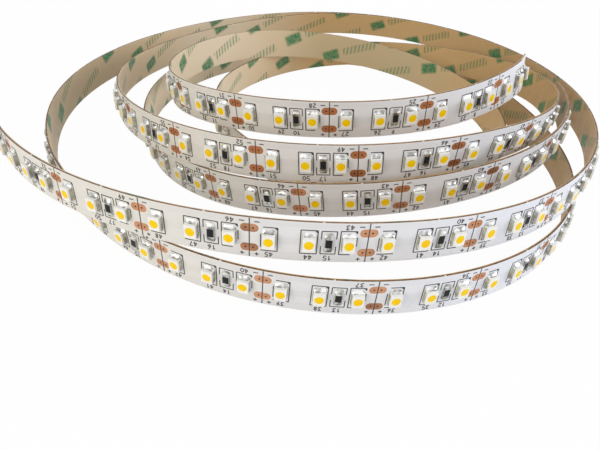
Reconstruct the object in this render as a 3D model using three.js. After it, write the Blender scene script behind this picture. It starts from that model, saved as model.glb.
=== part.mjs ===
// A loose coil of flexible LED strip, standing on its edge with the LEDs facing out.
// Millimetres, +Z up. The origin lies under the middle of the coil, on the surface it stands on.
//
// The strip is a row of half metre flexible boards, soldered end to end, with one length of
// adhesive tape and paper release liner along their backs. Each board carries LEDs at an even
// pitch, and one chip resistor for every three LEDs. The LEDs and resistors of a board are
// soldered on for good, so they are one solid with it.
import * as THREE from 'three';
import { mergeVertices } from 'three/addons/utils/BufferGeometryUtils.js';

// The strip
const stripWidth = 10;
const boardThickness = 0.3;
const unitLength = 25; // between two cut lines
const ledsPerUnit = 3;
const unitsPerBoard = 20;
const wholeBoards = 3;
const unitsOnFirstBoard = unitsPerBoard - 1; // the roll was cut one unit into it
const unitsOnLastBoard = 14;
const unitCount = unitsOnFirstBoard + wholeBoards * unitsPerBoard + unitsOnLastBoard;
const ledPitch = unitLength / ledsPerUnit;

// The adhesive tape with its paper liner, behind the boards
const backingThickness = 0.3;
const layerGap = 0.05;
const faceDepth = boardThickness / 2; // from the route to a board's face

// The LED housing: across the strip, along it, and how far it stands off the board
const ledAcross = 3.5;
const ledAlong = 2.8;
const ledHeight = 1.4;
const ledDraft = 0.1; // each side of the housing tapers in by this much

// The chip resistor, which sits between the last two LEDs of each unit
const resistorAcross = 3.2;
const resistorAlong = 1.6;
const resistorHeight = 0.55;
const resistorStation = ledsPerUnit - 1; // in LED pitches after a cut line

// The solder joints where one board ends and the next begins
const spliceGap = 0.3;
const padOffset = stripWidth / 4; // from the middle of the width to the middle of a pad
const beadAcross = 1.8;
const beadAlong = 3;
const beadHeight = 0.5;
const beadSides = 5;

// The coil's route. It starts at the free end, short of the front on the left, and runs to the
// right, seen from the front. Angles count from the front, in degrees. The route goes on a little
// way past the strip's inner end.
const firstAngle = -71.8;
const lastAngle = 1889;
const stationStep = 45;
const firstStation = -135;

// Each row is one station: how far the strip passes from the coil's middle in 25ths of a unit, how
// high the middle of its width lies in tenths of its width, and how far its top leans out in
// degrees. The route blends between rows, so it passes near them and not through them.
const stations = [
  [135, 5, 9],
  [111, 8, 7],
  [93, 15, 0],
  // Outer turn: high at the front, down to the surface at the left
  [81, 19, -2],
  [79, 17, -6],
  [81, 17, 1],
  [87, 17, -13],
  [92, 14, -22],
  [93, 6, -3],
  [91, 5, 6],
  [87, 6, 8],
  // Lowest turn: on the surface all the way
  [87, 6, 1],
  [83, 6, -2],
  [73, 4, -2],
  [73, 7, 3],
  [72, 6, 7],
  [66, 5, 9],
  [61, 5, 6],
  [61, 6, 6],
  // Third turn: rises at the front, falls again behind
  [61, 15, 5],
  [65, 21, 2],
  [74, 21, -2],
  [82, 18, -13],
  [86, 16, -24],
  [82, 6, -6],
  [72, 11, 1],
  [62, 18, -1],
  // Fourth turn: highest at the front right
  [57, 23, -4],
  [61, 28, 8],
  [70, 23, 3],
  [71, 14, -7],
  [62, 8, -6],
  [49, 4, 1],
  [38, 6, 2],
  [37, 7, 4],
  // Innermost turn: hidden low in the coil
  [44, 8, 6],
  [53, 9, 8],
  [57, 9, 9],
  [55, 11, 8],
  [52, 14, 12],
  [53, 16, 13],
  [54, 16, 6],
  [51, 25, 1],
  // Top turn: up over the others, to the inner end at the right
  [45, 29, 7],
  [48, 32, -2],
  [58, 37, -14],
  [66, 8, -13],
];

// Reach, height and lean at an angle, blended smoothly from the four nearest stations
// with the weights of a uniform cubic B-spline.
function stationAt(angle) {
  const place = (angle - firstStation) / stationStep;
  const row = Math.floor(place);
  const f = place - row;
  const weights = [
    (1 - f) ** 3 / 6,
    (3 * f ** 3 - 6 * f ** 2 + 4) / 6,
    (-3 * f ** 3 + 3 * f ** 2 + 3 * f + 1) / 6,
    f ** 3 / 6,
  ];
  const [reach, height, lean] = [0, 1, 2].map((column) =>
    weights.reduce((sum, weight, k) => sum + weight * stations[row - 1 + k][column], 0),
  );
  return {
    reach: (reach * unitLength) / 25,
    height: (height * stripWidth) / 10,
    lean: THREE.MathUtils.degToRad(lean),
  };
}

// The line along the middle of the strip's width, from the free end to the inner end.
class CoilRoute extends THREE.Curve {
  angleAt(t) {
    return THREE.MathUtils.lerp(firstAngle, lastAngle, t);
  }

  getPoint(t, target = new THREE.Vector3()) {
    const { reach, height } = stationAt(this.angleAt(t));
    const turned = THREE.MathUtils.degToRad(this.angleAt(t));
    return target.set(reach * Math.sin(turned), -reach * Math.cos(turned), height);
  }
}

const route = new CoilRoute();
route.arcLengthDivisions = 4000;

// Where the strip is at a distance from its free end: the middle of the board's thickness and
// width, the direction along the strip, the direction across it towards its upper edge, and
// the direction its LEDs face.
function frameAt(distance) {
  const t = route.getUtoTmapping(0, distance);
  const { lean } = stationAt(route.angleAt(t));
  const point = route.getPoint(t);
  const along = route.getTangent(t);
  const level = new THREE.Vector3(along.y, -along.x, 0).normalize();
  const across = new THREE.Vector3(0, 0, Math.cos(lean)).addScaledVector(level, Math.sin(lean));
  across.addScaledVector(along, -across.dot(along)).normalize();
  const facing = new THREE.Vector3().crossVectors(along, across);
  return { point, along, across, facing };
}

// Collects flat faces, each a list of corners that run anticlockwise seen from outside.
class Faces {
  constructor() {
    this.corners = [];
  }

  triangle(a, b, c) {
    this.corners.push(a, b, c);
  }

  quad(a, b, c, d) {
    this.triangle(a, b, c);
    this.triangle(a, c, d);
  }

  toGeometry() {
    return mergeVertices(new THREE.BufferGeometry().setFromPoints(this.corners), 1e-4);
  }
}

// The point of a frame's cross-section at a step across the strip and a depth along its facing.
function sectionPoint({ point, across, facing }, side, depth) {
  return point.clone().addScaledVector(across, side).addScaledVector(facing, depth);
}

// The flat stretch of strip under one LED lies a little inside the route, on the straight line
// between its two ends.
function flatFrame(before, after) {
  const along = after.point.clone().sub(before.point).normalize();
  const across = before.across.clone().add(after.across);
  across.addScaledVector(along, -across.dot(along)).normalize();
  const facing = new THREE.Vector3().crossVectors(along, across);
  const point = before.point.clone().add(after.point).multiplyScalar(0.5);
  return { point, along, across, facing };
}

// The four corners of an upright component on a frame, anticlockwise seen from its front.
function rectangleOn(frame, along, across, depth) {
  const ways = [[-1, -1], [1, -1], [1, 1], [-1, 1]];
  return ways.map(([u, v]) =>
    sectionPoint(frame, (v * across) / 2, depth).addScaledVector(frame.along, (u * along) / 2),
  );
}

// One LED housing standing on its foot, four corners on the board's face.
function addLed(faces, frame, foot) {
  const along = ledAlong - 2 * ledDraft;
  const across = ledAcross - 2 * ledDraft;
  const top = rectangleOn(frame, along, across, faceDepth + ledHeight);
  for (let k = 0; k < 4; k += 1) {
    const next = (k + 1) % 4;
    faces.quad(foot[k], foot[next], top[next], top[k]);
  }
  faces.quad(...top);
}

// A resistor sits astride the fold between two flat stretches, so its foot has six corners:
// two on the stretch before, two on the fold and two on the stretch after.
function resistorFoot(frame, before, after) {
  const half = resistorAcross / 2;
  const corner = (side, along, step) =>
    sectionPoint(frame, side, faceDepth).addScaledVector(along, step);
  return [
    corner(-half, before.along, -resistorAlong / 2),
    corner(-half, before.along, 0),
    corner(-half, after.along, resistorAlong / 2),
    corner(half, after.along, resistorAlong / 2),
    corner(half, after.along, 0),
    corner(half, before.along, -resistorAlong / 2),
  ];
}

function addResistor(faces, frame, foot) {
  const top = rectangleOn(frame, resistorAlong, resistorAcross, faceDepth + resistorHeight);
  for (const [first, left, right] of [[0, 0, 1], [3, 2, 3]]) {
    faces.triangle(foot[first], foot[first + 1], top[left]);
    faces.triangle(foot[first + 1], top[right], top[left]);
    faces.triangle(foot[first + 1], foot[first + 2], top[right]);
  }
  faces.quad(foot[2], foot[3], top[2], top[1]);
  faces.quad(foot[5], foot[0], top[0], top[3]);
  faces.quad(...top);
}

// The board's face over one flat stretch: its outline, notched where a resistor's foot reaches in
// from either end, with a hole for the LED's foot. Triangulated flat, then laid on its corners.
function addFittedFace(faces, outline, ledFoot, flat) {
  const flatten = (corner) => {
    const step = corner.clone().sub(flat.point);
    return new THREE.Vector2(step.dot(flat.along), step.dot(flat.across));
  };
  const hole = [...ledFoot].reverse();
  const corners = [...outline, ...hole];
  const triangles = THREE.ShapeUtils.triangulateShape(outline.map(flatten), [hole.map(flatten)]);
  for (const [a, b, c] of triangles) {
    faces.triangle(corners[a], corners[b], corners[c]);
  }
}

// A strip between two depths through a list of frames, closed at both ends. Every stretch between
// two frames is flat. Where the strip twists, face and back fold along the same diagonal, so that
// layers laid on each other stay apart. addFace makes the front of each stretch.
function addRibbon(faces, frames, backDepth, frontDepth, addFace) {
  const half = stripWidth / 2;
  const section = (frame) => [
    sectionPoint(frame, -half, backDepth),
    sectionPoint(frame, half, backDepth),
    sectionPoint(frame, half, frontDepth),
    sectionPoint(frame, -half, frontDepth),
  ];
  const sections = frames.map(section);
  for (let k = 0; k + 1 < sections.length; k += 1) {
    const [backLow, backHigh, frontHigh, frontLow] = sections[k];
    const [nextBackLow, nextBackHigh, nextFrontHigh, nextFrontLow] = sections[k + 1];
    faces.quad(backLow, nextBackLow, nextFrontLow, frontLow);
    faces.quad(nextBackHigh, backHigh, frontHigh, nextFrontHigh);
    faces.quad(backLow, backHigh, nextBackHigh, nextBackLow);
    addFace(k, [frontLow, nextFrontLow, nextFrontHigh, frontHigh]);
  }
  faces.quad(...[...sections[0]].reverse());
  faces.quad(...sections[sections.length - 1]);
}

const boardFinish = new THREE.MeshStandardMaterial({ color: 0xe9e9e6, roughness: 0.45, metalness: 0 });
const linerFinish = new THREE.MeshStandardMaterial({ color: 0xc9b190, roughness: 0.8, metalness: 0 });
const solderFinish = new THREE.MeshStandardMaterial({ color: 0xc4c6c9, roughness: 0.35, metalness: 1 });

const coil = new THREE.Group();

function addPart(name, geometry, finish) {
  const mesh = new THREE.Mesh(geometry, finish);
  mesh.name = name;
  coil.add(mesh);
}

// One frame at each end of every LED's flat stretch, and one in the middle of each stretch
const frames = [];
for (let k = 0; k <= unitCount * ledsPerUnit; k += 1) {
  frames.push(frameAt(k * ledPitch));
}
const flats = frames.slice(1).map((after, k) => flatFrame(frames[k], after));

// A board with everything soldered to it. It stops half a splice gap short of each neighbour, and
// flush at the strip's own ends.
function boardGeometry(firstUnit, lastUnit) {
  const first = firstUnit * ledsPerUnit;
  const last = lastUnit * ledsPerUnit;
  const own = frames.slice(first, last + 1);
  if (firstUnit > 0) {
    own[0] = frameAt(first * ledPitch + spliceGap / 2);
  }
  if (lastUnit < unitCount) {
    own[own.length - 1] = frameAt(last * ledPitch - spliceGap / 2);
  }

  const faces = new Faces();
  const feet = new Map();
  for (let k = first + resistorStation; k < last; k += ledsPerUnit) {
    feet.set(k - first, resistorFoot(frames[k], flats[k - 1], flats[k]));
    addResistor(faces, frames[k], feet.get(k - first));
  }
  addRibbon(faces, own, -faceDepth, faceDepth, (k, [frontLow, nextLow, nextHigh, frontHigh]) => {
    const flat = flats[first + k];
    const ledFoot = rectangleOn(flat, ledAlong, ledAcross, faceDepth);
    const notchAhead = feet.has(k + 1) ? [1, 0, 5, 4].map((corner) => feet.get(k + 1)[corner]) : [];
    const notchBehind = feet.has(k) ? [4, 3, 2, 1].map((corner) => feet.get(k)[corner]) : [];
    const outline = [frontLow, nextLow, ...notchAhead, nextHigh, frontHigh, ...notchBehind];
    addFittedFace(faces, outline, ledFoot, flat);
    addLed(faces, flat, ledFoot);
  });
  return faces.toGeometry();
}

// The boards, one after another along the strip
const splices = [];
for (let start = 0, board = 1; start < unitCount; board += 1) {
  const units = board === 1 ? unitsOnFirstBoard : unitsPerBoard;
  const end = Math.min(start + units, unitCount);
  addPart(`flex_board_${board}`, boardGeometry(start, end), boardFinish);
  if (end < unitCount) {
    splices.push(end * unitLength);
  }
  start = end;
}

// A low bead of solder bridges each pair of pads where two boards meet.
const bead = new THREE.CylinderGeometry(beadAcross / 3, beadAcross / 2, beadHeight, beadSides);
bead.rotateX(Math.PI / 2);
bead.scale(beadAlong / beadAcross, 1, 1);
bead.translate(0, 0, beadHeight / 2 + layerGap);
splices.forEach((distance, k) => {
  const frame = frameAt(distance);
  const turn = new THREE.Matrix4().makeBasis(frame.along, frame.across, frame.facing);
  for (const [pole, side] of [['minus', padOffset], ['plus', -padOffset]]) {
    const place = turn.clone().setPosition(sectionPoint(frame, side, faceDepth));
    addPart(`splice_solder_${pole}_${k + 1}`, bead.clone().applyMatrix4(place), solderFinish);
  }
});

// The tape and liner run the whole length in one piece.
const backing = new Faces();
const backingFace = -faceDepth - layerGap;
addRibbon(backing, frames, backingFace - backingThickness, backingFace, (k, outline) => {
  backing.quad(...outline);
});
addPart('tape_and_liner', backing.toGeometry(), linerFinish);

// Stand the coil on its lowest edge, with its middle over the origin.
const extent = new THREE.Box3().setFromObject(coil);
const middle = extent.getCenter(new THREE.Vector3());
coil.position.set(-middle.x, -middle.y, -extent.min.z);

export default coil;
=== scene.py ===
# %% [markdown]
# # A loose coil of LED strip
#
# A flexible LED strip is a long, thin circuit board with LEDs soldered to its face, and adhesive
# tape under paper liner on its back. This one lies in a loose coil on its edge, LEDs outwards.
# Everything on it repeats every 25 mm, the shortest length that can be cut off, so the lesson
# draws one unit flat, in strip millimetres, and then carries every unit along the coil's route.

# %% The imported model
import math

import bpy
import numpy as np
from mathutils import Matrix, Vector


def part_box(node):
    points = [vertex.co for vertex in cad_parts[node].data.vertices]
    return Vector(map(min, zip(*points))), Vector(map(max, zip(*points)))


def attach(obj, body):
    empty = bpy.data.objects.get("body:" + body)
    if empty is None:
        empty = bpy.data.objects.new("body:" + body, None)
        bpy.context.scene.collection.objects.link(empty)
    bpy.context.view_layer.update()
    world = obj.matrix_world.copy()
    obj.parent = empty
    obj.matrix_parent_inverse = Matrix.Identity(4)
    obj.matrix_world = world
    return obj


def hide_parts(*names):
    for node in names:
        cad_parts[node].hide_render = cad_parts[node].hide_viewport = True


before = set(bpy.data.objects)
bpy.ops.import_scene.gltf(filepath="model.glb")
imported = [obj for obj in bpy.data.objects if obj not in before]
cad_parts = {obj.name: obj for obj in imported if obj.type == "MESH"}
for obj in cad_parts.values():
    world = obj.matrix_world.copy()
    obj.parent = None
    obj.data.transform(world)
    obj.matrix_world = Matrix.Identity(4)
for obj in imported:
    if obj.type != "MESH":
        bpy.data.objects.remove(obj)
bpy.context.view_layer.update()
MM = 0.001
print("CAD nodes:", len(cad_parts))

# %% [markdown]
# ## The route of the coil
#
# The strip's path is a list of stations every 45 degrees around the coil: how far out it passes,
# how high, and how much it leans. A Blender curve could carry the strip too. Here a cubic
# B-spline is written out, which blends the stations without kinks. The same stations and the same
# formula shaped the CAD boards, so the looks fall exactly on the solids.

# %% Stations, each (reach mm, height mm, lean degrees)
FIRST_STATION = -135
STATION_STEP = 45
FREE_END = -71.8
ROUTE_END = 1889
STATIONS = np.array([
    (135, 5, 9), (111, 8, 7), (93, 15, 0),
    (81, 19, -2), (79, 17, -6), (81, 17, 1), (87, 17, -13),
    (92, 14, -22), (93, 6, -3), (91, 5, 6), (87, 6, 8),
    (87, 6, 1), (83, 6, -2), (73, 4, -2), (73, 7, 3),
    (72, 6, 7), (66, 5, 9), (61, 5, 6), (61, 6, 6),
    (61, 15, 5), (65, 21, 2), (74, 21, -2), (82, 18, -13),
    (86, 16, -24), (82, 6, -6), (72, 11, 1), (62, 18, -1),
    (57, 23, -4), (61, 28, 8), (70, 23, 3), (71, 14, -7),
    (62, 8, -6), (49, 4, 1), (38, 6, 2), (37, 7, 4),
    (44, 8, 6), (53, 9, 8), (57, 9, 9), (55, 11, 8),
    (52, 14, 12), (53, 16, 13), (54, 16, 6), (51, 25, 1),
    (45, 29, 7), (48, 32, -2), (58, 37, -14), (66, 8, -13),
], float)

# %% Sizes of the strip, in millimetres
UNIT = 25.0
UNITS_PER_BOARD = 20
FIRST_BOARD_UNITS = 19
UNITS = 93
LEDS_PER_UNIT = 3
PITCH = UNIT / LEDS_PER_UNIT
HALF_WIDTH = 5.0
FACE = 0.15  # from the route to the board's face
GLUE_LINE = 0.05  # between the solid boards and the solid liner
LINER_THICKNESS = 0.3
LINER_TOP = -FACE - GLUE_LINE
LINER_BOTTOM = LINER_TOP - LINER_THICKNESS
print("strip length mm:", UNITS * UNIT)

# %% Points and directions along the route
TABLE_STEPS = 40000
NUDGE = 0.01  # degrees between a point and the two that give its direction


def stations_at(angle):
    """Reach, height and lean at angles: the four nearest stations, weighted by a cubic B-spline."""
    place = (angle - FIRST_STATION) / STATION_STEP
    row = np.floor(place).astype(int)
    f = place - row
    weights = ((1 - f) ** 3, 3 * f**3 - 6 * f**2 + 4, -3 * f**3 + 3 * f**2 + 3 * f + 1, f**3)
    return sum(w[..., None] * STATIONS[row - 1 + k] for k, w in enumerate(weights)) / 6


def point_at(angle):
    """The route's point at angles: reach times sine to the side, reach times cosine to the
    front, and the height."""
    reach, height, _ = np.moveaxis(stations_at(angle), -1, 0)
    turned = np.radians(angle)
    return np.stack([reach * np.sin(turned), -reach * np.cos(turned), height], -1)


def unit_vector(v):
    """A vector divided by its own length."""
    return v / np.linalg.norm(v, axis=-1, keepdims=True)


table_angles = np.linspace(FREE_END, ROUTE_END, TABLE_STEPS + 1)
steps = np.linalg.norm(np.diff(point_at(table_angles), axis=0), axis=1)
table_distances = np.concatenate([[0.0], np.cumsum(steps)])


def frames_at(distance):
    """The strip's point and three directions at distances from its free end: along the route,
    across it to the upper edge, tipped out by the lean, and facing, their cross product."""
    angle = np.interp(distance, table_distances, table_angles)
    along = unit_vector(point_at(angle + NUDGE) - point_at(angle - NUDGE))
    lean = np.radians(stations_at(angle)[..., 2:])
    level = unit_vector(along[..., [1, 0, 2]] * (1, -1, 0))
    across = np.cos(lean) * (0, 0, 1) + np.sin(lean) * level
    across = unit_vector(across - (across * along).sum(-1, keepdims=True) * along)
    return point_at(angle), along, across, np.cross(along, across)


def carry(points):
    """Strip millimetres (distance, side, depth) to the coil: point + side across + depth facing."""
    point, _, across, facing = frames_at(points[..., 0])
    return point + points[..., 1:2] * across + points[..., 2:3] * facing


def seat(points, distances):
    """One rigid shape in (along, across, off the face) millimetres, seated at each distance."""
    point, along, across, facing = (v[:, None, :] for v in frames_at(distances))
    x, y, z = points[:, 0:1], points[:, 1:2], points[:, 2:3]
    return point + x * along + y * across + (z + FACE) * facing


print("route length mm:", table_distances[-1].round(1))

# %% Where the coil stands
# The CAD liner has one cross-section at every LED pitch. The same corners, worked out here,
# show how far the coil was moved to stand on its origin.
ends = np.arange(UNITS * LEDS_PER_UNIT + 1) * PITCH
liner_corners = np.array([
    carry(np.stack([ends, np.full_like(ends, side), np.full_like(ends, depth)], -1))
    for side in (-HALF_WIDTH, HALF_WIDTH) for depth in (LINER_TOP, LINER_BOTTOM)
]).reshape(-1, 3)
SHIFT = np.array(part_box("tape_and_liner")[0]) / MM - liner_corners.min(0)
print("coil moved by mm:", SHIFT.round(3))

# %% [markdown]
# ## Meshes from whole arrays
#
# Two makers cover the whole strip. A band is a flat shape with a left and a right outline,
# given a thickness and carried along the coil, which suits the board, the pads and the print.
# A seated shape is rigid, and is copied to many places, which suits LEDs and resistors. Instances
# or array modifiers could copy too, but whole arrays keep each kind of part in one mesh.


# %% A piece from points and faces
def make_piece(name, points, faces, finish, replaced=(), flat=None, crease=35):
    """A mesh object from points in millimetres and arrays of corner numbers, one per face size.
    Flat points, if given, become its UV map: U the distance along the strip, V the side."""
    mesh = bpy.data.meshes.new(name)
    points = points.reshape(-1, 3)
    mesh.vertices.add(len(points))
    mesh.vertices.foreach_set("co", ((points + SHIFT) * MM).ravel())
    corners = np.concatenate([f.ravel() for f in faces])
    sizes = np.concatenate([np.full(len(f), f.shape[1]) for f in faces])
    mesh.loops.add(len(corners))
    mesh.loops.foreach_set("vertex_index", corners)
    mesh.polygons.add(len(sizes))
    mesh.polygons.foreach_set("loop_start", np.concatenate([[0], np.cumsum(sizes)[:-1]]))
    mesh.update(calc_edges=True)
    if flat is not None:
        layer = mesh.uv_layers.new(name="strip")
        layer.uv.foreach_set("vector", flat.reshape(-1, 3)[corners, :2].ravel())
    mesh.shade_smooth()
    mesh.set_sharp_from_angle(angle=math.radians(crease))
    mesh.materials.append(finish.material)
    piece = bpy.data.objects.new(name, mesh)
    bpy.context.scene.collection.objects.link(piece)
    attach(piece, "root")
    if replaced:
        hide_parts(*replaced)
    print(name, "faces:", len(sizes))
    return piece


def copies(faces, count, size):
    """Corner numbers of one shape repeated for count shapes of size points each."""
    return (faces[None] + (np.arange(count) * size)[:, None, None]).reshape(-1, faces.shape[1])


def tube_walls(sides, rings):
    """The quads between neighbouring rings of points: each side of a ring, and the one above."""
    k = np.arange(sides)
    after = (k + 1) % sides
    wall = np.stack([k, after, after + sides, k + sides], -1)
    return copies(wall, rings - 1, sides)


def join(parts):
    """Several (points, faces) results as one."""
    points, faces, total = [], {}, 0
    for some_points, some_faces in parts:
        some_points = some_points.reshape(-1, 3)
        for f in some_faces:
            faces.setdefault(f.shape[1], []).append(f + total)
        points.append(some_points)
        total += len(some_points)
    return np.concatenate(points), [np.concatenate(f) for f in faces.values()]


# %% Bands
def at_side(distances, side):
    """Distances along the strip as points (distance, side)."""
    return np.stack([distances, np.full_like(distances, side)], -1)


def bands(right, left, low, high):
    """Closed bands from outlines of shape (count, stations, 2) in (distance, side), between two
    depths. Each station is a ring of four corners, and rings join into a tube with two ends."""
    count, stations = right.shape[:2]
    sides = np.stack([right, left, left, right], 2)
    depths = np.broadcast_to(np.array([low, low, high, high], float)[:, None], (4, 1))
    flat = np.concatenate([sides, np.broadcast_to(depths, sides.shape[:3] + (1,))], -1)
    last = (stations - 1) * 4
    caps = np.array([[3, 2, 1, 0], [last, last + 1, last + 2, last + 3]])
    return flat, [copies(np.concatenate([tube_walls(4, stations), caps]), count, stations * 4)]


def strokes(start, end, width, stations=2):
    """Straight bars as band outlines: half the width to each side of the line start to end."""
    t = np.linspace(0, 1, stations)[:, None]
    line = start[:, None] * (1 - t) + end[:, None] * t
    way = unit_vector(end - start)
    aside = np.stack([-way[:, 1], way[:, 0]], -1)[:, None] * width / 2
    return line - aside, line + aside


def every_unit(outline, first=0):
    """Outlines drawn in one unit, (count, stations, 2), repeated at every unit's distance."""
    starts = np.arange(first, UNITS) * UNIT
    moved = outline[None] + at_side(starts, 0.0)[:, None, None]
    return moved.reshape(-1, *outline.shape[1:])


# %% [markdown]
# ## Finishes
#
# A finish is a node material. To keep its formulas readable, a small class wraps a node's output
# and overloads the arithmetic, so a mask is written as an expression and adds its own Math nodes.


# %% Values in a formula
class Signal:
    """A node's output as a value in a formula."""

    def __init__(self, graph, socket):
        self.graph = graph
        self.socket = socket

    def math(self, operation, *others):
        """The operation on this value and the others, worked out by one Math node."""
        values = dict(enumerate((self,) + others))
        return self.graph.node("ShaderNodeMath", {"operation": operation}, values)

    def __add__(self, other):
        return self.math("ADD", other)

    def __mul__(self, other):
        return self.math("MULTIPLY", other)

    def __sub__(self, other):
        return self.math("SUBTRACT", other)

    def __rsub__(self, other):
        return (self * -1.0) + other

    __radd__ = __add__
    __rmul__ = __mul__

    def near(self, centre, reach, soft=0.05):
        """1 where the value lies within reach of centre, fading to 0 over a soft width."""
        off = (self - centre).math("ABSOLUTE")
        return self.graph.ramp(off, reach + soft, reach - soft)

    def repeat(self, period):
        """The value wrapped to plus or minus half a period around each multiple of it."""
        return self.math("WRAP", period / 2, -period / 2)


# %% Node trees
WHITE = (1, 1, 1, 1)
SEEN_RAYS = ("Is Camera Ray", "Is Glossy Ray", "Is Transmission Ray")


class Graph:
    """A node tree that formulas add their nodes to."""

    def __init__(self, tree):
        self.tree = tree

    def node(self, kind, settings=None, values=None, output=0):
        """Adds any node: its settings first, then each socket's value or link."""
        node = self.tree.nodes.new(kind)
        for setting, value in (settings or {}).items():
            setattr(node, setting, value)
        for socket, value in (values or {}).items():
            if isinstance(value, Signal):
                self.tree.links.new(value.socket, node.inputs[socket])
            else:
                node.inputs[socket].default_value = value
        return Signal(self, node.outputs[output])

    def ramp(self, value, low, high, bottom=0.0, top=1.0):
        """A straight ramp from bottom at low to top at high, held at both ends."""
        values = {"Value": value, "From Min": low, "From Max": high,
                  "To Min": bottom, "To Max": top}
        return self.node("ShaderNodeMapRange", {"clamp": True}, values)

    def mix(self, factor, first, second):
        """A colour between two colours, each three numbers or a signal."""
        as_input = [c if isinstance(c, Signal) else (*c, 1) for c in (first, second)]
        values = {0: factor, 6: as_input[0], 7: as_input[1]}
        return self.node("ShaderNodeMix", {"data_type": "RGBA"}, values, output=2)

    def white_where_seen(self, usual, glow_kind, share, output):
        """Mixes a shader with plain white for rays that come from the camera or by way of gloss
        or glass. The factor is the smaller of 1 and the sum of those rays, times a share."""
        rays = [self.node("ShaderNodeLightPath", output=kind) for kind in SEEN_RAYS]
        seen = (rays[0] + rays[1] + rays[2]).math("MINIMUM", 1.0)
        glow = self.node(glow_kind, None, {"Color": WHITE, "Strength": 1.0})
        values = {0: seen * share, 1: Signal(self, usual.outputs[0]), 2: glow}
        surface = self.node("ShaderNodeMixShader", None, values)
        self.tree.links.new(surface.socket, self.tree.nodes[output].inputs["Surface"])


# %% Materials
class Finish(Graph):
    """A material on the Principled shader. Constants go straight onto the shader's sockets."""

    def __init__(self, name, color, roughness=0.5, **constants):
        self.material = bpy.data.materials.new(name)
        self.material.use_nodes = True
        super().__init__(self.material.node_tree)
        self.shader = self.tree.nodes["Principled BSDF"]
        self.shader.inputs["Base Color"].default_value = (*color, 1)
        self.shader.inputs["Roughness"].default_value = roughness
        for socket, value in constants.items():
            self.shader.inputs[socket.replace("_", " ")].default_value = value

    def drive(self, socket, signal):
        """Lets a formula set one of the shader's sockets at every point."""
        self.tree.links.new(signal.socket, self.shader.inputs[socket])

    def axis(self, place, number):
        """One of the three numbers of a place."""
        return self.node("ShaderNodeSeparateXYZ", None, {0: place}, output=number)

    def strip_place(self):
        """Distance along the strip and side across it, both in millimetres, from the UV map."""
        uv = self.node("ShaderNodeUVMap", {"uv_map": "strip"})
        return self.axis(uv, 0), self.axis(uv, 1)

    def object_place(self):
        """Metres on the object: to the right, to the back and up."""
        return self.node("ShaderNodeTexCoord", output="Object")

    def noise(self, scale, detail=2.0):
        """Cloudy noise from 0 to 1, with features about 1 / scale metres wide."""
        values = {"Vector": self.object_place(), "Scale": scale, "Detail": detail}
        return self.node("ShaderNodeTexNoise", None, values)

    def patches(self, scale, detail=2.0, low=0.35, high=0.65):
        """Noise made crisper: 0 below low, 1 above high."""
        return self.ramp(self.noise(scale, detail), low, high)

    def mottle(self, mask, dark, light):
        """Base colour from dark, where a mask is 0, to light, where it is 1."""
        self.drive("Base Color", self.mix(mask, dark, light))

    def bump(self, height, strength, distance=0.0001):
        """Shades the surface as if it stood out by a height from 0 to 1, times the distance."""
        values = {"Height": height, "Strength": strength, "Distance": distance}
        self.drive("Normal", self.node("ShaderNodeBump", None, values))


# %% [markdown]
# ## The flexible boards
#
# The board is copper on film under white solder mask. Under the mask the copper tracks stand a
# hair proud, so they show as a faint change of shade. They could be thin bands of their own, but
# a shade and a slight bump look the same here and need no faces. The material draws them from
# the UV map, whose U is the distance along the strip and V the side, both in millimetres. The
# white is painted a little cooler on the coil's right and yellower on its left, as painted light:
# cool light from the right, and warm light and bounce off the liner from the left.

# %% Solder mask
TOP_RAIL = (4.15, 0.55)  # side of its middle, half width
BOTTOM_RAIL = (-3.75, 0.95)
LINK_HALF_LENGTH = 8.8
LINK_HALF_WIDTH = 0.9
MASK_WHITE = (0.815, 0.81, 0.825)
MASK_ON_COPPER = (0.745, 0.74, 0.755)
MASK_COOL_LIGHT = (0.82, 0.84, 0.91)
MASK_WARM_LIGHT = (0.79, 0.755, 0.67)
mask = Finish("white_solder_mask", (0.76, 0.755, 0.765), 0.45, Specular_IOR_Level=0.35)
u, v = mask.strip_place()
in_unit = u.math("FLOORED_MODULO", UNIT)
rails = v.near(*TOP_RAIL) + v.near(*BOTTOM_RAIL)
links = v.near(0.0, LINK_HALF_WIDTH) * in_unit.near(UNIT / 2, LINK_HALF_LENGTH)
tracks = (rails + links).math("MINIMUM", 1.0)
white = mask.mix(tracks * 0.6 + mask.patches(60.0) * 0.3, MASK_WHITE, MASK_ON_COPPER)
sideways = mask.axis(mask.object_place(), 0)
# Painted light: the white turns cooler towards the coil's right and warmer towards its left.
white = mask.mix(mask.ramp(sideways, 0.005, 0.045) * 0.9, white, MASK_COOL_LIGHT)
white = mask.mix(mask.ramp(sideways, 0.0, -0.035) * 0.7, white, MASK_WARM_LIGHT)
mask.drive("Base Color", white)
mask.drive("Roughness", mask.ramp(mask.noise(900.0), 0.3, 0.7, 0.36, 0.5))
mask.bump(tracks, 0.5, 0.00004)

# %% Boards
SPLICE_GAP = 0.3
SECTIONS_PER_UNIT = 16
board_starts = np.arange(FIRST_BOARD_UNITS, UNITS, UNITS_PER_BOARD)
board_ends = np.concatenate([[0], board_starts, [UNITS]]) * UNIT
board_parts = []
for start, end in zip(board_ends[:-1], board_ends[1:]):
    start += SPLICE_GAP / 2 if start > 0 else 0
    end -= SPLICE_GAP / 2 if end < UNITS * UNIT else 0
    stations = int(round((end - start) / UNIT * SECTIONS_PER_UNIT)) + 1
    line = np.linspace(start, end, stations)[None]
    board_parts.append(bands(at_side(line, -HALF_WIDTH), at_side(line, HALF_WIDTH), -FACE, FACE))
flat, faces = join(board_parts)
boards = [f"flex_board_{k}" for k in range(1, len(board_ends))]
make_piece("solder_mask_boards", carry(flat), faces, mask, boards, flat)

# %% [markdown]
# ## Cut edges
#
# Along both edges the film and the copper under the mask show as a brown line. Seen from above it
# is the strip's outline. The line breaks once in every unit, where the edge copper stops. A
# second material on the board's side faces would be as wide as the board is thick. A thin band
# set into each edge can be wider, and can stop at the breaks.

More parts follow.
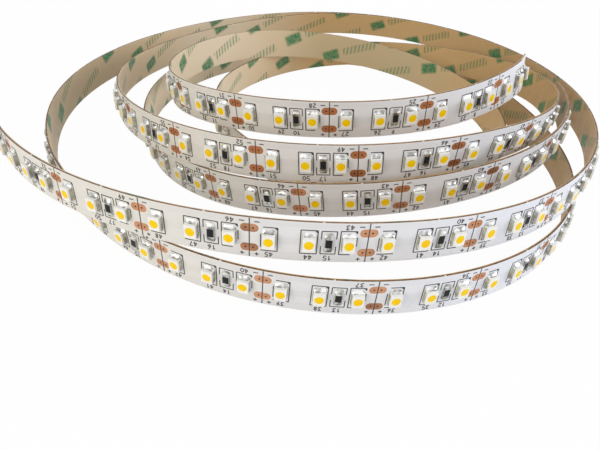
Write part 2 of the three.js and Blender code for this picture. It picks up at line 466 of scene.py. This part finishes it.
# %% Edge line
EDGE_BREAK = 15.3
EDGE_BREAK_WIDTH = 0.5
EDGE_SECTIONS = 16
EDGE_PROUD = 0.03
EDGE_DEPTHS = (-0.27, FACE - 0.01)
edge_film = Finish("cut_edge_film", (0.27, 0.145, 0.06), 0.5)
edge_film.mottle(edge_film.patches(700.0, 3.0), (0.105, 0.058, 0.026), (0.28, 0.145, 0.066))
line = np.linspace(
    EDGE_BREAK - UNIT + EDGE_BREAK_WIDTH / 2, EDGE_BREAK - EDGE_BREAK_WIDTH / 2,
    EDGE_SECTIONS + 1)[None]
right, left = (
    np.concatenate([every_unit(at_side(line, side + shift), 1)
                    for side in (-HALF_WIDTH, HALF_WIDTH)])
    for shift in (-EDGE_PROUD, EDGE_PROUD)
)
flat, faces = bands(right, left, *EDGE_DEPTHS)
make_piece("cut_edges", carry(flat), faces, edge_film, (), flat)

# %% [markdown]
# ## Tape and liner
#
# Inside every turn shows the glazed release paper over the tape, printed in green. A picture
# could be wrapped on it. Here the material draws generic marks instead, rows of plain blocks and
# of hatching, because formulas on the UV map stay sharp and follow every turn. The paper's tan
# is painted darker at both ends and on one inner turn, as painted shade, and paler left of the
# middle, as painted light, which the two soft lamps give too evenly.

# %% Green marks on the liner
MARK_SLANT = math.radians(-23)
ROW_STEP = 11.0  # from row to row, in millimetres
ROW_SHIFT = 1.25  # how far a row is pushed along, for each millimetre that it lies higher
MARK_STEP = 27.0  # from one mark to the next in its row
BLOCK_HALF = (3.2, 1.9)
HATCH_AFTER = 12.0
HATCH_HALF = (6.8, 1.4)
HATCH_STEP = 1.6
HATCH_LEAN = 0.4
paper = Finish("release_paper", (0.58, 0.46, 0.31), 0.45, Specular_IOR_Level=0.25)
u, v = paper.strip_place()
run = u * math.cos(MARK_SLANT) + v * math.sin(MARK_SLANT)
rise = v * math.cos(MARK_SLANT) - u * math.sin(MARK_SLANT)
in_row = rise.repeat(ROW_STEP)
run = run + (rise - in_row) * ROW_SHIFT
block_run = run.repeat(MARK_STEP)
blocks = block_run.near(0.0, BLOCK_HALF[0], 0.5) * in_row.near(0.0, BLOCK_HALF[1], 0.5)
hatch_run = (run + HATCH_AFTER).repeat(MARK_STEP)
hatched = hatch_run.near(0.0, HATCH_HALF[0], 0.3) * in_row.near(0.0, HATCH_HALF[1], 0.3)
hatching = (run + in_row * HATCH_LEAN).repeat(HATCH_STEP).near(0.0, 0.42, 0.25)
worn = paper.ramp(paper.noise(900.0), 0.35, 0.60, 0.72, 1.0)
printed = (blocks * 0.95 + hatched * hatching * 0.65) * worn

# %% The paper, with painted shade and painted light in its tan
TAN = (0.66, 0.445, 0.21)
TAN_RIGHT_END_SHADE = (0.50, 0.32, 0.145)
TAN_LEFT_END_SHADE = (0.46, 0.345, 0.205)
TAN_INNER_TURN_SHADE = (0.51, 0.41, 0.255)
TAN_PAINTED_HIGHLIGHT = (0.77, 0.665, 0.51)
GREEN = (0.02, 0.18, 0.07)
fibre = paper.patches(300.0, 4.0, 0.3, 0.7)
sideways = paper.axis(paper.object_place(), 0)
# Painted shade: the tan darkens at both ends and on one inner turn. Painted light: it is paler left
# of the middle.
right_end_shade = paper.ramp(sideways, 0.04, 0.08) * 0.9 + fibre * 0.1
left_end_shade = paper.ramp(sideways, -0.064, -0.078)
inner_turn_shade = u.near(2080.0, 42.0, 18.0) * 0.85
pale = sideways.near(-0.043, 0.026, 0.018) * 0.85
tone = paper.mix(right_end_shade, TAN, TAN_RIGHT_END_SHADE)
tone = paper.mix(left_end_shade, tone, TAN_LEFT_END_SHADE)
tone = paper.mix(inner_turn_shade, tone, TAN_INNER_TURN_SHADE)
tone = paper.mix(pale, tone, TAN_PAINTED_HIGHLIGHT)
paper.drive("Base Color", paper.mix(printed, tone, GREEN))
paper.drive("Roughness", paper.ramp(fibre, 0.0, 1.0, 0.38, 0.55))

# %% Liner
line = np.linspace(0, UNITS * UNIT, UNITS * SECTIONS_PER_UNIT + 1)[None]
outline = (at_side(line, -HALF_WIDTH), at_side(line, HALF_WIDTH))
flat, faces = bands(*outline, LINER_BOTTOM, -FACE - 0.01)
make_piece("paper_liner", carry(flat), faces, paper, ["tape_and_liner"], flat)

# %% [markdown]
# ## Copper pads and cut lines
#
# Every cut line crosses two pairs of bare copper pads, where wires can be soldered. They could be
# a mask in the board's material, but real pads stand a little off the board and catch the light.
# Each pad is half a stadium, so it is a band whose half width follows a circle at the rounded
# end. Some pads are tarnished, and those towards the coil's front are painted brighter, as painted
# light.

# %% Pads
PAD_SIDES = (2.5, -2.5)
PAD_STRAIGHT = 0.95
PAD_HALF = 1.0
COPPER_FRONT_LIT = (0.70, 0.35, 0.19)
COPPER = (0.55, 0.21, 0.085)
COPPER_TARNISHED = (0.30, 0.13, 0.055)
copper = Finish("bare_copper", (0.50, 0.22, 0.12), 0.38, Metallic=0.35)
tarnish = copper.patches(800.0, 3.0, 0.3, 0.7)
bare = tarnish * 0.3 + copper.patches(70.0, 2.0, 0.36, 0.5) * 0.7
backwards = copper.axis(copper.object_place(), 1)
# Painted light: pads towards the coil's front are painted brighter.
front_lit_copper = copper.mix(copper.ramp(backwards, -0.088, -0.066), COPPER_FRONT_LIT, COPPER)
copper.mottle(bare, COPPER_TARNISHED, front_lit_copper)
copper.drive("Roughness", copper.ramp(tarnish, 0.0, 1.0, 0.5, 0.3))
reach = np.array([0.04, 0.55, 0.95, 1.2, 1.45, 1.65, 1.8, 1.9, PAD_STRAIGHT + PAD_HALF])
rounding = ((reach - PAD_STRAIGHT) / PAD_HALF).clip(0)
half = PAD_HALF * np.sqrt(np.clip(1 - rounding ** 2, 0.003, 1))
pad_outlines = []
for side in PAD_SIDES:
    low = np.stack([reach, side - half], -1)
    high = np.stack([reach, side + half], -1)
    pad_outlines.append((low, high))
    pad_outlines.append(tuple(((UNIT, 0) + edge * (-1, 1))[::-1] for edge in (low, high)))
right, left = (every_unit(np.array(o)) for o in zip(*pad_outlines))
flat, faces = bands(right, left, FACE - 0.05, FACE + 0.025)
make_piece("solder_pads", carry(flat), faces, copper)

# %% Pin holes in the pads, as discs of painted shade that stand just above the copper
HOLE_SIDES = 8
HOLE_RADIUS = 0.22
HOLE_FROM_CUT = 0.8
hole_shade = Finish("pin_hole", (0.035, 0.009, 0.006), 0.7)
hole_turn = np.linspace(0, 2 * np.pi, HOLE_SIDES, endpoint=False)
ring = HOLE_RADIUS * np.stack([np.cos(hole_turn), np.sin(hole_turn)], -1)
centres = np.array([
    (x, side) for side in PAD_SIDES for x in (HOLE_FROM_CUT, UNIT - HOLE_FROM_CUT)])
rims = every_unit(centres[:, None]) + ring
discs = np.concatenate([
    np.concatenate([rims, np.full((*rims.shape[:2], 1), depth)], -1)
    for depth in (FACE, FACE + 0.045)
], 1)
k = np.arange(HOLE_SIDES)
hole_caps = np.stack([k[::-1], k + HOLE_SIDES])
faces = [copies(f, len(discs), 2 * HOLE_SIDES) for f in (tube_walls(HOLE_SIDES, 2), hole_caps)]
make_piece("pad_pin_holes", carry(discs), faces, hole_shade)

# %% [markdown]
# ## Print on the board
#
# The black print frames every LED and resistor, marks the two poles and numbers the parts. A
# font could write the numbers, but it has far more points than such small figures need. All of
# the print is drawn as thin bars, a fifth of a millimetre wide, and each digit is a few strokes.
# The digits stand on their heads, as on the real strip. The bars' tops lie at slightly different
# heights, so that no two faces share a plane where they cross.

# %% Strokes of one unit: (start distance, start side, end distance, end side)
INK_WIDTH = 0.22
INK_BOTTOM = FACE - 0.03
LED_AT = (np.arange(LEDS_PER_UNIT) + 0.5) * PITCH
RESISTOR_AT = 2 * PITCH  # halfway between the second LED and the third
FRAME_ALONG = 1.78
FRAME_ACROSS = 3.0


def around(centre, lines):
    """Lines drawn around the origin, moved to a distance in the unit."""
    return np.array(lines, float) + (centre, 0, centre, 0)


a, c = FRAME_ALONG, FRAME_ACROSS
first_frame = [(-a, 1.2, -a, -2.2), (-a + 0.5, c, a, c), (a, c, a, -c), (-a, -c, a, -c)]
middle_frame = [(-a, c, a, c), (a, c, a, -c), (a, -c, -a, -c), (-a, -c, -a, c)]
last_frame = [(-a, c, a - 0.1, c), (a, 1.4, a, -0.9), (-a, -c, -a, c), (-a, -c, 0.6, -c)]
bracket = [(-1.6, 0.95, -1.6, 2.9), (-1.6, 2.9, 1.6, 2.9), (1.6, 2.9, 1.6, 0.95),
           (-1.6, -0.95, -1.6, -2.9), (-1.6, -2.9, 1.6, -2.9), (1.6, -2.9, 1.6, -0.95)]
poles = []
for x in (1.6, UNIT - 1.6):
    poles += [(x - 0.55, 4.1, x + 0.55, 4.1), (x - 0.45, -4.2, x + 0.45, -4.2), (x, -3.8, x, -4.6)]
unit_lines = np.concatenate([
    around(LED_AT[0], first_frame), around(LED_AT[1], middle_frame), around(LED_AT[2], last_frame),
    around(RESISTOR_AT, bracket), np.array(poles),
])
right, left = strokes(unit_lines[:, :2], unit_lines[:, 2:], INK_WIDTH, 4)
lines = bands(every_unit(right), every_unit(left), INK_BOTTOM, FACE + 0.03)
print("strokes in a unit:", len(unit_lines))

# %% Filled corners: one corner of each LED's frame, which tells its poles apart
CORNER = 0.75
frame_middles = at_side(LED_AT, 0.0)[:, None]
corner_right = np.array([[(a - CORNER, c - 0.02), (a, c - CORNER)]]) + frame_middles
corner_left = np.array([[(a - CORNER, c), (a, c)]]) + frame_middles
corners = bands(every_unit(corner_right), every_unit(corner_left), INK_BOTTOM, FACE + 0.032)

# %% Cut lines, at every unit end that isn't a splice
CUT_LINE_HALF = HALF_WIDTH - 0.05
cuts = np.setdiff1d(np.arange(1, UNITS) * UNIT, board_ends)
cut_outlines = strokes(at_side(cuts, -CUT_LINE_HALF), at_side(cuts, CUT_LINE_HALF), INK_WIDTH)
cut_bands = bands(*cut_outlines, INK_BOTTOM, FACE + 0.04)
print("cut lines:", len(cuts))

# %% Digits, each a list of strokes in a box one high
DIGITS = {
    "0": [(0, .3, 0, .7), (0, .7, .3, 1), (.3, 1, .6, .7), (.6, .7, .6, .3), (.6, .3, .3, 0),
          (.3, 0, 0, .3)],
    "1": [(.1, .75, .35, 1), (.35, 1, .35, 0)],
    "2": [(0, .8, .3, 1), (.3, 1, .6, .75), (.6, .75, 0, 0), (0, 0, .62, 0)],
    "3": [(0, .95, .6, .95), (.6, .95, .25, .55), (.25, .55, .6, .3), (.6, .3, .3, 0),
          (.3, 0, 0, .15)],
    "4": [(.45, 0, .45, 1), (.45, 1, 0, .3), (0, .3, .65, .3)],
    "5": [(.6, 1, .05, 1), (.05, 1, .05, .6), (.05, .6, .6, .45), (.6, .45, .4, 0),
          (.4, 0, 0, .1)],
    "6": [(.5, 1, .05, .4), (.05, .4, .2, 0), (.2, 0, .6, .2), (.6, .2, .35, .55),
          (.35, .55, .05, .4)],
    "7": [(0, 1, .62, 1), (.62, 1, .2, 0)],
    "8": [(.3, .55, .02, .78), (.02, .78, .3, 1), (.3, 1, .58, .78), (.58, .78, .02, .25),
          (.02, .25, .3, 0), (.3, 0, .58, .25), (.58, .25, .3, .55)],
    "9": [(.55, .6, .3, .4), (.3, .4, .02, .7), (.02, .7, .3, 1), (.3, 1, .56, .75),
          (.56, .75, .15, 0)],
}
DIGIT_HEIGHT = 1.15
DIGIT_STEP = 0.95
DIGIT_STROKE = 0.19


def number_strokes(number, centre, side):
    """A number's strokes around a point of the strip, turned half round, so up is downwards."""
    drawn = []
    text = str(number)
    for place, digit in enumerate(text):
        glyph = np.array(DIGITS[digit], float).reshape(-1, 2, 2) * DIGIT_HEIGHT
        offset = (place - (len(text) - 1) / 2) * DIGIT_STEP
        glyph += (offset - 0.3 * DIGIT_HEIGHT, -0.5 * DIGIT_HEIGHT)
        drawn.append((centre, side) - glyph)
    return np.concatenate(drawn)


# %% Numbers: LEDs count down along each board, three to a unit, and so do the resistors
BELOW = -4.0
ABOVE = 3.95
drawn = []
for unit in range(UNITS):
    number = (FIRST_BOARD_UNITS - 1 - unit) % UNITS_PER_BOARD + 1
    start = unit * UNIT
    drawn.append(number_strokes(3 * number, start + LED_AT[0], BELOW))
    drawn.append(number_strokes(3 * number - 1, start + LED_AT[1], BELOW))
    drawn.append(number_strokes(number, start + RESISTOR_AT, BELOW))
    drawn.append(number_strokes(3 * number - 2, start + LED_AT[2], ABOVE))
drawn = np.concatenate(drawn)
digits = bands(*strokes(drawn[:, 0], drawn[:, 1], DIGIT_STROKE), INK_BOTTOM, FACE + 0.035)
print("strokes in the numbers:", len(drawn))

# %% The ink
ink = Finish("board_print", (0.025, 0.025, 0.03), 0.5)
ink.mottle(ink.noise(1500.0), (0.01, 0.01, 0.012), (0.06, 0.06, 0.065))
flat, faces = join([lines, corners, cut_bands, digits])
make_piece("board_print", carry(flat), faces, ink)

# %% [markdown]
# ## LEDs
#
# An LED here is a cream housing with a round well of yellow phosphor, and a silver lead at each
# end with a fillet of solder. A cube with bevels and a boolean cut could make the housing. A
# stack of rings does it with fewer faces: rounded rectangles outside, then circles down into the
# well. There are 279, so each ring has only 16 points. Thin blocks, rougher and darker than
# the top, cover the two sides that face along the strip.

# %% Ring stacks
RING = 16
CORNER_POINTS = RING // 4
ring_turn = (np.arange(RING) + 0.5) * 2 * np.pi / RING


def rounded(half_along, half_across, radius, height):
    """A rounded rectangle of 16 points: four on each corner's quarter circle."""
    quarter = np.tile(np.linspace(0, np.pi / 2, CORNER_POINTS), 4)
    corner_turn = quarter + np.repeat(np.arange(4) * np.pi / 2, CORNER_POINTS)
    sign_x = np.repeat([1, -1, -1, 1], CORNER_POINTS)
    sign_y = np.repeat([1, 1, -1, -1], CORNER_POINTS)
    x = sign_x * (half_along - radius) + radius * np.cos(corner_turn)
    y = sign_y * (half_across - radius) + radius * np.sin(corner_turn)
    return np.stack([x, y, np.full(RING, height)], -1)


def circle(radius, height):
    """Sixteen points at one distance from the middle: cosine along, sine across."""
    return np.stack(
        [radius * np.cos(ring_turn), radius * np.sin(ring_turn), np.full(RING, height)], -1)


def ring_stack(rings):
    """A closed shape from rings of equal count: walls between them, and a flat cap at each end."""
    k = np.arange(RING)
    caps = np.stack([k[::-1], k + RING * (len(rings) - 1)])
    return np.concatenate(rings), tube_walls(RING, len(rings)), caps


def seated_piece(name, shapes, distances, finish, crease=35):
    """Copies of rigid shapes at every distance, as one piece."""
    parts = []
    for points, *faces in shapes:
        placed = seat(points, distances)
        parts.append((placed, [copies(f, len(distances), len(points)) for f in faces]))
    points, faces = join(parts)
    return make_piece(name, points, faces, finish, crease=crease)


# %% Housings, as rings of (half along, half across, corner radius, height)
LED_HEIGHT = 1.4
WELL = 1.05
WELL_FLOOR = WELL - 0.08
led_distances = (np.arange(UNITS * LEDS_PER_UNIT) + 0.5) * PITCH
housing_finish = Finish("led_housing", (0.84, 0.84, 0.79), 0.45, Specular_IOR_Level=0.4)
housing_finish.mottle(housing_finish.patches(400.0), (0.88, 0.88, 0.83), (0.93, 0.93, 0.90))
housing = ring_stack([
    rounded(1.33, 1.68, 0.2, -0.05),
    rounded(1.40, 1.75, 0.2, 0.62),
    rounded(1.32, 1.67, 0.22, LED_HEIGHT),
    circle(WELL + 0.03, LED_HEIGHT),
    circle(WELL_FLOOR, LED_HEIGHT - 0.3),
])
seated_piece("led_housings", [housing], led_distances, housing_finish)

# %% Phosphor
phosphor = Finish("led_phosphor", (1.0, 0.62, 0.0), 0.4, Specular_IOR_Level=0.15)
phosphor.mottle(phosphor.patches(600.0), (1.0, 0.60, 0.0), (1.0, 0.69, 0.003))
dome = ring_stack([
    circle(WELL_FLOOR, LED_HEIGHT - 0.32),
    circle(WELL, LED_HEIGHT - 0.06),
    circle(WELL * 0.6, LED_HEIGHT - 0.02),
])
seated_piece("led_phosphor", [dome], led_distances, phosphor, crease=60)

# %% Solder fillets and blocks
FILLET_LONG = 7  # grid points from end to end
FILLET_DEEP = 4  # and from the wall outwards
FILLET_RIM = 0.03


def fillet(inner, outer, height, half_along):
    """Solder drawn up a wall: a grid whose height falls off outwards by a power of 1.6 and drops
    at both ends by a fourth power, closed by a skirt and a floor."""
    s, t = np.meshgrid(
        np.linspace(-1, 1, FILLET_LONG), np.linspace(0, 1, FILLET_DEEP), indexing="ij")
    x = s * half_along * (1 - 0.25 * t**2)
    y = inner + (outer - inner) * t
    z = FILLET_RIM + height * (1 - t) ** 1.6 * (1 - 0.7 * s**4)
    top = np.stack([x, y, z], -1).reshape(-1, 3)
    n = np.arange(len(top)).reshape(FILLET_LONG, FILLET_DEEP)
    grid = np.stack([n[:-1, :-1], n[1:, :-1], n[1:, 1:], n[:-1, 1:]], -1).reshape(-1, 4)
    rim = np.concatenate([n[:, 0], n[-1, 1:], n[-2::-1, -1], n[0, -2:0:-1]])
    floor = top[rim] * (1, 1, 0) - (0, 0, FILLET_RIM)
    below = len(top) + np.arange(len(rim))
    skirt = np.stack([rim, below, np.roll(below, -1), np.roll(rim, -1)], -1)
    points = np.concatenate([top, floor])
    if outer < inner:
        return points, grid[:, ::-1], skirt[:, ::-1], below[None]
    return points, grid, skirt, below[::-1][None]


def block(x, y, z):
    """A box between two values on each axis."""
    points = np.array([(i, j, k) for k in z for j in y for i in x])
    quads = [[0, 2, 3, 1], [4, 5, 7, 6], [0, 1, 5, 4], [2, 6, 7, 3], [0, 4, 6, 2], [1, 3, 7, 5]]
    return points, np.array(quads)


# %% Leads and solder of the LEDs
LEAD_ALONG = (-1.05, 1.05)
LEAD_UP = (-0.02, 0.8)
solder = Finish("bright_solder", (0.80, 0.80, 0.78), 0.22, Metallic=1.0)
solder.mottle(solder.patches(650.0, 1.0, 0.40, 0.60), (0.36, 0.36, 0.345), (0.93, 0.93, 0.92))
solder.bump(solder.noise(1200.0, 1.0), 0.3)
solder.drive("Roughness", solder.ramp(solder.noise(1200.0), 0.3, 0.7, 0.12, 0.35))
led_metal = [
    fillet(1.66, 2.45, 0.75, 1.35), fillet(-1.66, -2.45, 0.75, 1.35),
    block(LEAD_ALONG, (1.6, 1.80), LEAD_UP), block(LEAD_ALONG, (-1.80, -1.6), LEAD_UP),
]
seated_piece("led_solder", led_metal, led_distances, solder, crease=50)

# %% Housing sides
side_finish = Finish("led_side_wall", (0.45, 0.43, 0.36), 0.6)
side_finish.mottle(side_finish.patches(700.0, 3.0), (0.27, 0.26, 0.20), (0.62, 0.60, 0.51))
side_walls = [block(x, (-1.52, 1.52), (0.0, 0.98)) for x in ((1.34, 1.42), (-1.42, -1.34))]
seated_piece("led_side_walls", side_walls, led_distances, side_finish)

# %% [markdown]
# ## Resistors
#
# One chip resistor feeds each group of three LEDs: a ceramic chip under a black glazed plate,
# between two silver caps, with solder drawn up to both of them. One block with three painted
# faces would be enough from afar. Plate, chip and caps are shapes of their own, because each has
# its own finish, and the plate's rounded rim catches the light.

# %% Glazed plates and ceramic chips, as rings of (half along, half across, corner radius, height)
resistor_distances = np.arange(UNITS) * UNIT + RESISTOR_AT
glaze = Finish("resistor_glaze", (0.012, 0.012, 0.014), 0.5, Specular_IOR_Level=0.15)
glaze.mottle(glaze.noise(2000.0), (0.006, 0.006, 0.007), (0.03, 0.03, 0.033))
plate = ring_stack([
    rounded(0.70, 1.02, 0.08, 0.46),
    rounded(0.70, 1.02, 0.08, 0.54),
    rounded(0.64, 0.96, 0.08, 0.57),
])
seated_piece("resistor_glaze_plates", [plate], resistor_distances, glaze)
ceramic = Finish("resistor_ceramic", (0.42, 0.42, 0.40), 0.6)
ceramic.mottle(ceramic.patches(1500.0), (0.30, 0.30, 0.28), (0.52, 0.52, 0.50))
chip = ring_stack([rounded(0.8, 1.1, 0.05, -0.03), rounded(0.8, 1.1, 0.05, 0.50)])
seated_piece("resistor_bodies", [chip], resistor_distances, ceramic)

# %% Caps and solder of the resistors
dull = Finish("dull_solder", (0.5, 0.5, 0.47), 0.35, Metallic=1.0)
dull.mottle(dull.patches(800.0, 2.0, 0.38, 0.62), (0.20, 0.20, 0.185), (0.70, 0.70, 0.66))
dull.bump(dull.noise(1200.0, 1.0), 0.3)
caps = [block((-0.8, 0.8), y, (-0.02, 0.54)) for y in ((1.0, 1.6), (-1.6, -1.0))]
cap_solder = [fillet(1.58, 2.45, 0.5, 0.95), fillet(-1.58, -2.45, 0.5, 0.95)]
seated_piece("resistor_caps", caps + cap_solder, resistor_distances, dull, crease=50)

# %% [markdown]
# ## Splices
#
# Half metre boards are joined by a lump of solder over each pair of pads. Liquid solder pulls
# itself round, so a lump is half an ellipsoid. A squashed sphere would do, but as a ring stack it
# is seated on the route by the same function as the LEDs.

# %% Splice joints
LUMP = (1.5, 0.9, 0.5)  # half its length along the strip, half its width, its height
LUMP_RINGS = (0, 25, 50, 72, 86)  # degrees up the ellipsoid
LUMP_FOOT = 0.04
splices = board_ends[1:-1]


def lump(side):
    """Half an ellipsoid on a pad pair: rings that shrink by a cosine while they rise by a sine."""
    long, wide, high = LUMP
    rings = [circle(1.0, 0.0) * (long * np.cos(h), wide * np.cos(h), 0)
             + (0, side, high * np.sin(h)) for h in np.radians(LUMP_RINGS)]
    return ring_stack([rings[0] - (0, 0, LUMP_FOOT)] + rings)


lumps = [lump(side) for side in PAD_SIDES]
joints = seated_piece("splice_joints", lumps, splices, solder, crease=60)
solder_nodes = [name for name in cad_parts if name.startswith("splice_solder")]
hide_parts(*solder_nodes)

# %% [markdown]
# ## Floor, light and camera
#
# The floor is pale and plain. A strong lamp could whiten it, but would bleach the coil too. So
# the floor and the world turn white only for rays that come from the camera or by way of gloss,
# and the floor keeps a share of its own shade for the soft shadow. Two large soft lamps, a
# slightly cool one on the right and a warm one on the left, stay at a level where a colour
# renders as it is written.

# %% Floor and world
FLOOR_DROP = 0.0002
FLOOR_WHITE_SHARE = 0.97
WORLD_STRENGTH = 0.74
bpy.ops.mesh.primitive_plane_add(size=6.0, location=(0, 0, -FLOOR_DROP))
floor = bpy.context.object
floor.name = "floor"
pale = Finish("pale_floor", (0.85, 0.85, 0.85), 0.9)
pale.white_where_seen(pale.shader, "ShaderNodeEmission", FLOOR_WHITE_SHARE, "Material Output")
floor.data.materials.append(pale.material)

world = bpy.data.worlds.new("studio")
bpy.context.scene.world = world
world.use_nodes = True
sky = Graph(world.node_tree)
background = sky.tree.nodes["Background"]
background.inputs["Color"].default_value = WHITE
background.inputs["Strength"].default_value = WORLD_STRENGTH
sky.white_where_seen(background, "ShaderNodeBackground", 1.0, "World Output")


# %% Lamps
def lamp(name, place, size, watts, color):
    """A square soft lamp that looks at the coil's middle."""
    data = bpy.data.lights.new(name, "AREA")
    data.size = size
    data.energy = watts
    data.color = color
    light = bpy.data.objects.new(name, data)
    bpy.context.scene.collection.objects.link(light)
    light.location = place
    to_middle = -light.location
    light.rotation_euler = to_middle.to_track_quat("-Z", "Y").to_euler()
    print(name, "watts:", watts)


LAMP_SIZE = 0.6
lamp("right_lamp", (1.15, 0.0, 0.4), LAMP_SIZE, 5.2, (0.95, 0.97, 1.0))
lamp("left_lamp", (-0.8, -0.8, 0.35), LAMP_SIZE, 3.6, (1.0, 0.94, 0.82))

# %% Camera, in millimetres on the route's own axes: the picture's width is 600 pixels
IMAGE_WIDTH = 600
FOCAL_PIXELS = 551.3
DOWN_DEGREES = 36.42
ROLL_DEGREES = 6.0
CAMERA_FROM_ROUTE = (-7.0, -174.0, 89.08)
camera_data = bpy.data.cameras.new("camera")
camera_data.sensor_width = 36.0
camera_data.lens = FOCAL_PIXELS / IMAGE_WIDTH * camera_data.sensor_width
camera_data.clip_start = 0.005
camera = bpy.data.objects.new("camera", camera_data)
bpy.context.scene.collection.objects.link(camera)
camera_place = (SHIFT + CAMERA_FROM_ROUTE) * MM
camera.matrix_world = (
    Matrix.Translation(camera_place)
    @ Matrix.Rotation(math.radians(90 - DOWN_DEGREES), 4, "X")
    @ Matrix.Rotation(math.radians(ROLL_DEGREES), 4, "Z")
)
bpy.context.scene.camera = camera
bpy.context.scene.view_settings.view_transform = "Standard"
print("camera at", camera_place.round(4), "lens", round(camera_data.lens, 2))
